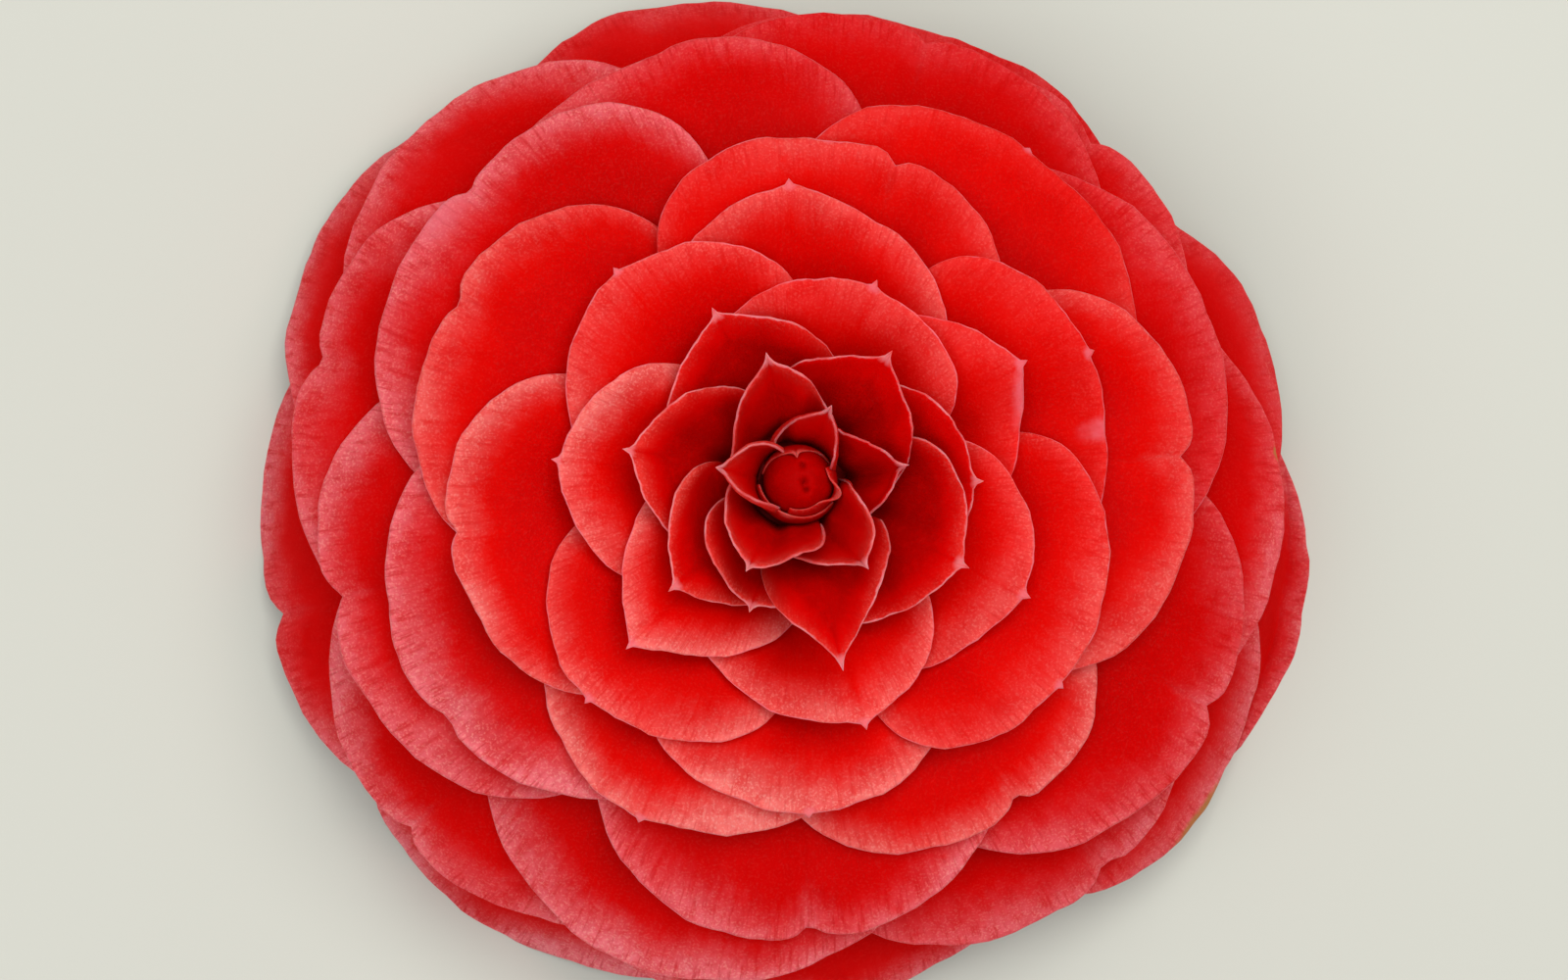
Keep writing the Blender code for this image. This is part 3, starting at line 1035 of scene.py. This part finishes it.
@dataclass
class Corolla:
    """All the petals, each shaped by the petal tree and standing for its solid."""

    axis: Axis
    stack: Stack = Stack()
    sheet: BladeSheet = BladeSheet(rows=30, columns=60)
    ruffle: Grade = Grade((7.0, 20.0, 48.0), (0.15, 0.4, 1.0))
    corner: Grade = Grade((8.0, 20.0), (0.2, 0.0))
    point: Grade = Grade((1.0, 2.0), (0.07, 0.0))  # against roundness
    point_width: float = 14.0  # degrees
    rim_waves: tuple[float, ...] = (0.16, 0.31, 0.55, 0.9, 1.7)  # radians a degree
    rim_noise: float = 0.16 * MM
    spike: Grade = Grade((6.0, 15.0, 35.0), (0.7, 1.0, 0.5))
    spike_length: float = 0.65 * MM
    spike_width: float = 0.17 * MM
    notch_depth: float = 1.1 * MM
    notch_width: float = 1.6  # degrees
    crease_depth: float = 0.5 * MM
    crease_width: float = 3.0  # degrees
    keel: Grade = Grade((7.0, 13.0), (0.4, 1.0))
    keel_depth: float = 0.75 * MM
    keel_width: float = 1.6 * MM
    recurve: Grade = Grade((7.0, 13.0, 20.0, 48.0), (-0.45, 0.1, 0.35, 0.7))
    recurve_start: Grade = Grade((7.0, 20.0, 48.0), (0.86, 0.8, 0.75))
    closing: Grade = Grade((8.5, 11.0, 16.0), (0.4, 0.7, 0.0))
    # Petals whose tips point to this side get more blush: painted light from that side
    lit_side: float = 230.0  # degrees
    seed: int = 11
    tone_seed: int = 500

    def build(self) -> None:
        """Makes, dresses and places every petal."""
        tree = BladeTree()
        finishes = {whorl: PETAL_FINISHES[whorl].material(f"petal {whorl.value}") for whorl in Whorl}
        for index, petal in enumerate(PETALS):
            whorl = Whorl.of_reach(petal.reach)
            node = f"{whorl.value}_petal_{index + 1:02d}"
            piece = new_piece(f"{node}_blade", self._sheet_mesh(index, petal), finishes[whorl])
            tree.apply(piece, {
                "Axis X": self.axis.x,
                "Axis Y": self.axis.y,
                "Lift": self.axis.lift,
                "Ruffle": float(self.ruffle.at(petal.reach)) * MM,
                "Seed": index * 3.7,
                "Material": finishes[whorl],
            })
            hand_over(piece, node)

    def _outline(self, index: int, petal: Petal) -> Array:
        """Returns the rim's distance from the axis along the columns.

        Args:
            index: The petal's place in PETALS, which seeds its small waves.
            petal: The petal.

        Returns:
            The distances in metres.
        """
        across = self.sheet.across()
        degrees = across * np.where(across > 0.0, petal.left, petal.right)
        share = self.stack.shoulder.at(petal.reach)
        reach = petal.reach * MM * (share + (1.0 - share) * rounded(across, petal.roundness))
        reach = reach * (1.0 - self.corner.at(petal.reach) * across**10)
        point = self.point.at(petal.roundness)
        reach = reach * (1.0 - point + point * hump(degrees, self.point_width, 1.0))
        waves = np.random.default_rng(self.seed + index)
        for cycles in self.rim_waves:
            start = waves.uniform(0.0, 2.0 * math.pi)
            size = self.rim_noise * min(petal.reach / 30.0, 1.0) * (self.rim_waves[0] / cycles) ** 0.7
            reach = reach + size * np.sin(degrees * cycles + start) * (1.0 - across**6)
        if petal.notch is not None:
            reach = reach - self.notch_depth * hump(degrees - petal.notch, self.notch_width, 1.3)
        elif petal.reach < OUTER_REACH:
            length = self.spike_length * self.spike.at(petal.reach)
            reach = reach + length * hump(np.radians(degrees) * petal.reach * MM, self.spike_width, 1.2)
        return reach

    def _sheet_mesh(self, index: int, petal: Petal) -> Mesh:
        """Makes the flat two-sided sheet that the petal tree shapes.

        Args:
            index: The petal's place in PETALS.
            petal: The petal.

        Returns:
            The mesh, with the numbers that the tree and the finish read.
        """
        across, along = self.sheet.grid()
        sides = np.where(across > 0.0, petal.left, petal.right)
        degrees = across * sides
        stack = self.stack
        width = stack.claw_width + (1.0 - stack.claw_width) * smooth_step(along / stack.claw_end)
        azimuth = petal.azimuth + degrees * width
        depth = stack.depth(index, azimuth)
        reach = np.broadcast_to(self._outline(index, petal), across.shape)
        radial = reach * along
        lateral = np.radians(degrees) * radial
        rim = (1.0 - along) * reach * 0.95
        flank = (1.0 - np.abs(across)) * np.radians(sides) * radial
        no_tip = 0.0 if petal.reach < OUTER_REACH else 1.0
        # Painted light: mostly how far the tip points to the lit side, plus a random tone of the petal's
        # own
        facing_lit_side = math.cos(math.radians(petal.azimuth - self.lit_side))
        lit_side_and_tone = 0.75 * facing_lit_side + np.random.default_rng(self.tone_seed + index).uniform(-0.35, 0.35)
        marks = {
            "azimuth": np.radians(azimuth),
            "depth": depth,
            "bend": np.radians(stack.half_bend.at(depth)),
            "reach": reach,
            "along": along,
            "outline": np.minimum(np.minimum(rim, flank), radial),
            "swell": self._swell(index, petal, along, degrees, lateral),
            "rim": rim,
            "tip": np.hypot(lateral, petal.reach * MM - radial) + no_tip,
            "lit_side_and_tone": np.full_like(across, lit_side_and_tone),
            "scar": np.zeros_like(across),
            "pale": np.zeros_like(across),
        }
        if index in SPOTS:
            spot = SPOTS[index]
            marks[spot.mark] = hump(degrees - spot.place, spot.width) * hump(rim, spot.depth)
        places = np.stack([lateral, radial, np.zeros_like(radial)], -1)
        layout = np.stack([np.radians(degrees) * 2.2 + index * 1.7, radial / UV_UNIT], -1)
        return self.sheet.mesh(f"sheet {index + 1:02d}", [SheetPart(places, layout, marks)])

    def _swell(self, index: int, petal: Petal, along: Array, degrees: Array, lateral: Array) -> Array:
        """Returns how far the blade stands inward of its plain arc.

        Args:
            index: The petal's place in PETALS.
            petal: The petal.
            along: The points' places along, from 0 to 1.
            degrees: Their turns from the tip.
            lateral: Their distances from the midline.

        Returns:
            The offsets: a keel down the middle, a turned-down rim, creases and leans.
        """
        pointed = np.clip(1.9 - petal.roundness, 0.0, 1.0) * self.keel.at(petal.reach)
        keel = self.keel_depth * pointed * hump(lateral, self.keel_width, 1.0)
        swell = -keel * smooth_step((along - 0.35) / 0.6)
        start = self.recurve_start.at(petal.reach)
        swell = swell - self.recurve.at(petal.reach) * MM * smooth_step((along - start) / (1.0 - start))
        closing = self.closing.at(petal.reach) * MM * hump(along - 0.4, 0.26)
        swell = swell + closing * smooth_step(along / 0.25)
        if petal.notch is not None:
            crease = self.crease_depth * hump(degrees - petal.notch, self.crease_width, 1.0)
            swell = swell - crease * smooth_step((along - 0.6) / 0.4)
        for lean in LEANS.get(index, ()):
            amount = lean.amount * hump(degrees - lean.centre, lean.width)
            swell = swell + amount * smooth_step((along - lean.start) / (1.0 - lean.start))
        return swell


class BudScale(NamedTuple):
    """A petal of the closed heart, drawn round the bud's egg."""

    azimuth: float  # degrees, of its tip
    left: float  # degrees
    right: float  # degrees
    gap: float  # metres, outside the egg
    tip_height: float  # metres, over the egg's foot
    side_height: float  # metres
    flare: float  # metres, of its tip outward
    power: float  # of its round end


BUD_SCALES: tuple[BudScale, ...] = (
    BudScale(98.0, 70.0, 70.0, 0.06 * MM, 6.0 * MM, 2.4 * MM, 0.5 * MM, 0.9),
    BudScale(250.0, 80.0, 66.0, 0.48 * MM, 4.6 * MM, 3.4 * MM, 0.0 * MM, 1.4),
    BudScale(-19.0, 46.0, 92.0, 0.22 * MM, 5.2 * MM, 5.1 * MM, 1.3 * MM, 1.0),
)


@dataclass
class Heart:
    """The closed heart: an egg of young petals, drawn round by three small ones."""

    axis: Axis
    sheet: BladeSheet = BladeSheet(rows=24, columns=64)
    egg_rows: int = 40
    egg_sides: int = 72
    foot: float = 24.9 * MM
    radius: float = 2.95 * MM
    middle: float = 27.0 * MM
    half_height: float = 4.4 * MM
    spiral: float = 0.07 * MM
    opening_depth: float = 0.9 * MM
    openings: tuple[Triple, ...] = ((0.2, 1.3, 0.26), (0.25, -0.1, 0.3), (0.5, -0.75, 0.26))  # x, y, size
    scale_foot: float = 0.3 * MM
    flare_width: float = 16.0  # degrees

    def build(self) -> None:
        """Makes the egg and its scales."""
        finish = HEART_FINISH.material("heart")
        egg = new_piece("heart_egg", self._egg_mesh(), finish)
        hand_over(egg, "centre_bud")
        mesh = self.sheet.mesh("scales", [self._scale(scale) for scale in BUD_SCALES])
        scales = new_piece("heart_scales", mesh, finish)
        SheetTree().apply(scales, {"Thickness": 0.24 * MM, "Rim Rounding": 0.25 * MM, "Material": finish})
        hand_over(scales)

    def _scale(self, scale: BudScale) -> SheetPart:
        """Returns the grid of one small petal that follows the egg.

        Args:
            scale: The petal's sizes.

        Returns:
            The grid.
        """
        across, along = self.sheet.grid()
        turned = across * np.where(across > 0.0, scale.left, scale.right)
        top = scale.side_height + (scale.tip_height - scale.side_height) * rounded(across, scale.power)
        height = self.scale_foot + (top - self.scale_foot) * along
        share = (self.foot + height - self.middle) / self.half_height
        egg = self.radius * np.sqrt(np.clip(1.0 - share**2, 0.0, 1.0))
        radius = egg + scale.gap + scale.flare * hump(turned, self.flare_width) * along**6
        places = self.axis.places(radius, np.radians(scale.azimuth + turned), self.foot + height)
        rim = (1.0 - along) * (top - self.scale_foot)
        flank = (1.0 - np.abs(across)) * 3.0 * MM
        return SheetPart(places, np.stack([np.radians(turned), along * 0.5], -1), {
            "outline": np.minimum(np.minimum(rim, flank), along * 4.0 * MM),
            "rim": rim,
            "along": np.maximum(along, 0.45),
            "tip": np.hypot(np.radians(turned) * 3.0 * MM, rim),
            **dict.fromkeys(("lit_side_and_tone", "scar", "pale"), np.zeros_like(along)),
        })

    def _egg_mesh(self) -> Mesh:
        """Makes the egg: furled tips that spiral up to three small openings.

        Returns:
            The mesh.
        """
        angle = np.linspace(0.0, math.pi, self.egg_rows + 1)[1:-1, None]
        azimuth = ring(self.egg_sides)
        spiral = np.cos(3.0 * (azimuth - 1.4 * angle)) * np.sin(angle) * self.spiral
        radius = self.radius * np.sin(angle) ** 0.9 + spiral
        height = self.middle + self.half_height * np.cos(angle) * np.ones_like(azimuth)
        for x, y, size in self.openings:
            away = np.hypot(radius * np.cos(azimuth) - x * MM, radius * np.sin(azimuth) - y * MM)
            height = height - np.where(angle < 1.3, self.opening_depth * hump(away, size * MM), 0.0)
        return closed_grid("egg", self.axis.places(radius, azimuth, height))


@dataclass
class Base:
    """The receptacle with its cut stalk, and the calyx of silky sepals."""

    axis: Axis
    sheet: BladeSheet = BladeSheet(rows=20, columns=36)
    sides: int = 64
    stalk_radius: float = 2.3 * MM
    seat_radius: float = 9.0 * MM
    seat_bottom: float = 7.6 * MM
    seat_height: float = 16.4 * MM
    neck_power: float = 2.2
    calyx_radius: float = 12.6 * MM
    calyx_inner: float = 2.7 * MM
    calyx_bottom: float = 4.4 * MM
    calyx_rise: float = 3.4 * MM
    sepal_sizes: tuple[float, ...] = (0.42, 0.55, 0.72, 0.84, 0.93, 0.98, 1.0)
    sepal_spiral: float = 137.5  # degrees from each to the next
    sepal_half_turn: float = 52.0  # degrees
    sepal_roundness: float = 2.1
    seed: int = 5

    def build(self) -> None:
        """Makes the receptacle, the sepals and their hairs."""
        stalk = new_piece("receptacle_and_stalk", self._receptacle_mesh(), StalkFinish().material("stalk"))
        hand_over(stalk, "receptacle")
        finish = SepalFinish().material("sepal")
        parts = [self._sepal(place) for place in range(len(self.sepal_sizes))]
        sepals = new_piece("calyx_sepals", self.sheet.mesh("sepals", parts), finish)
        SheetTree().apply(sepals, {"Thickness": 0.45 * MM, "Rim Rounding": 0.6 * MM, "Material": finish})
        hand_over(sepals, "calyx")
        hair_finish = HairFinish().material("sepal hair")
        hairs = new_piece("calyx_hairs", sepals.data.copy(), hair_finish)
        HairTree().apply(hairs, {"Material": hair_finish})
        hand_over(hairs)

    def _receptacle_mesh(self) -> Mesh:
        """Makes the turned receptacle that narrows into the stalk.

        Returns:
            The mesh.
        """
        dome = [(self.seat_radius * math.sin(a), self.seat_bottom + self.seat_height * math.cos(a))
                for a in np.linspace(0.04, QUARTER_TURN, 26)]
        under = self.seat_bottom - 1.2 * MM
        flare = 0.94 * self.seat_radius - self.stalk_radius
        neck = [(self.stalk_radius + flare * (1.0 - t) ** self.neck_power, under - 0.3 * MM * t)
                for t in np.linspace(0.0, 1.0, 10)]
        stalk = [(self.stalk_radius, z) for z in np.linspace(under - 0.6 * MM, STALK_END + 0.15 * MM, 12)]
        end = [(self.stalk_radius * share, STALK_END) for share in (0.95, 0.75, 0.5, 0.25, 0.08)]
        outline = np.array(dome + neck + stalk + end)
        azimuth = ring(self.sides)
        ribs = 0.035 * np.cos(5.0 * azimuth + 0.4) + 0.02 * np.cos(11.0 * azimuth)
        below = smooth_step((self.seat_bottom - outline[:, 1:]) / (2.0 * MM))
        radius = outline[:, :1] * (1.0 + ribs * below - 0.03 * below)
        return closed_grid("receptacle", self.axis.places(radius, azimuth, outline[:, 1:]))

    def _sepal(self, place: int) -> SheetPart:
        """Returns the grid of one sepal.

        Args:
            place: The sepal's place in the spiral, 0 the lowest and smallest.

        Returns:
            The grid.
        """
        rng = np.random.default_rng(self.seed + place)
        across, along = self.sheet.grid()
        longest = self.calyx_radius * self.sepal_sizes[place] * rng.uniform(0.96, 1.0)
        wave = 0.12 * MM * np.sin(across * 9.0 + place) + 0.07 * MM * np.sin(across * 23.0 + 2.0 * place)
        tip = longest * (0.62 + 0.38 * rounded(across, self.sepal_roundness)) + wave
        radius = self.calyx_inner + (tip - self.calyx_inner) * along
        turned = across * self.sepal_half_turn * (0.72 + 0.28 * smooth_step(along / 0.5))
        layer = (0.55 - 0.18 * place) * MM * (1.0 - 0.4 * along)
        height = self.calyx_bottom + self.calyx_rise * (radius / self.calyx_radius) ** 2 - layer
        height = height + 0.25 * MM * across**2 - 0.2 * MM * smooth_step((along - 0.85) / 0.15)
        rim = (1.0 - along) * (tip - self.calyx_inner)
        edge = np.minimum(rim, (1.0 - np.abs(across)) * radius * math.radians(self.sepal_half_turn))
        places = self.axis.places(radius, np.radians(self.sepal_spiral * place + turned), height)
        layout = np.stack([np.radians(turned) + place * 2.0, radius / UV_UNIT], -1)
        return SheetPart(places, layout, {"outline": np.minimum(edge, along * 8.0 * MM), "rim": edge})


class Lamp(NamedTuple):
    """A soft square light that faces the bloom."""

    name: str
    place: Triple
    size: float
    power: float
    colour: Triple


LAMPS: tuple[Lamp, ...] = (
    Lamp("key", (0.18, 0.28, 0.76), 0.6, 4.4, (1.0, 0.98, 0.95)),
    Lamp("fill", (-0.32, -0.24, 0.80), 0.9, 3.8, (0.97, 0.98, 1.0)),
)


@dataclass
class Studio:
    """The floor, the lights and the camera."""

    axis: Axis
    aim_height: float = 8.0 * MM
    distance: float = 330.0 * MM
    view_width: float = 138.8 * MM
    camera_offset: tuple[float, float] = (-16.0 * MM, -9.0 * MM)
    frame_offset: tuple[float, float] = (-0.26 * MM, -0.16 * MM)
    sensor_width: float = 36.0
    floor_size: float = 3.0
    sky: Colour = (0.93, 0.96, 1.0, 1.0)
    sky_strength: float = 0.40

    def build(self) -> None:
        """Makes the floor, the lights, the sky and the camera."""
        self._floor()
        self._camera()
        for lamp in LAMPS:
            self._light(lamp)
        world = bpy.data.worlds.new("studio")
        world.use_nodes = True
        background = world.node_tree.nodes["Background"]
        background.inputs["Color"].default_value = self.sky
        background.inputs["Strength"].default_value = self.sky_strength
        bpy.context.scene.world = world
        bpy.context.scene.view_settings.view_transform = "Standard"

    def _floor(self) -> None:
        """Makes the plain pale floor."""
        half = self.floor_size / 2.0
        mesh = bpy.data.meshes.new("floor")
        corners = [(-half, -half, 0.0), (half, -half, 0.0), (half, half, 0.0), (-half, half, 0.0)]
        mesh.from_pydata(corners, [], [(0, 1, 2, 3)])
        new_piece("floor", mesh, FloorFinish().material("floor"))

    def _camera(self) -> None:
        """Makes the camera, above the bloom and a little to one side, with +Y up in the picture."""
        middle = Vector((self.axis.x, self.axis.y, self.aim_height))
        aim = middle + Vector((*self.frame_offset, 0.0))
        eye = middle + Vector((*self.camera_offset, self.distance))
        forward = (aim - eye).normalized()
        right = forward.cross(Vector((0.0, 1.0, 0.0))).normalized()
        data = bpy.data.cameras.new("camera")
        data.sensor_width = self.sensor_width
        data.lens = self.sensor_width * (aim - eye).length / self.view_width
        data.clip_start = 0.01
        camera = bpy.data.objects.new("camera", data)
        camera.location = eye
        camera.rotation_euler = Matrix((right, right.cross(forward), -forward)).transposed().to_euler()
        bpy.context.scene.collection.objects.link(camera)
        bpy.context.scene.camera = camera

    @staticmethod
    def _light(lamp: Lamp) -> None:
        """Makes one of the lights.

        Args:
            lamp: Its name, place, size, power and colour.
        """
        data = bpy.data.lights.new(lamp.name, "AREA")
        data.size = lamp.size
        data.energy = lamp.power
        data.color = lamp.colour
        light = bpy.data.objects.new(lamp.name, data)
        light.location = lamp.place
        light.rotation_euler = (-Vector(lamp.place)).to_track_quat("-Z", "Y").to_euler()
        bpy.context.scene.collection.objects.link(light)


def main() -> None:
    """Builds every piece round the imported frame."""
    logging.basicConfig(level=logging.INFO, format="%(message)s")
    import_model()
    axis = Axis.from_frame()
    for part in (Studio(axis), Corolla(axis), Heart(axis), Base(axis)):
        part.build()


if __name__ == "__main__":
    main()
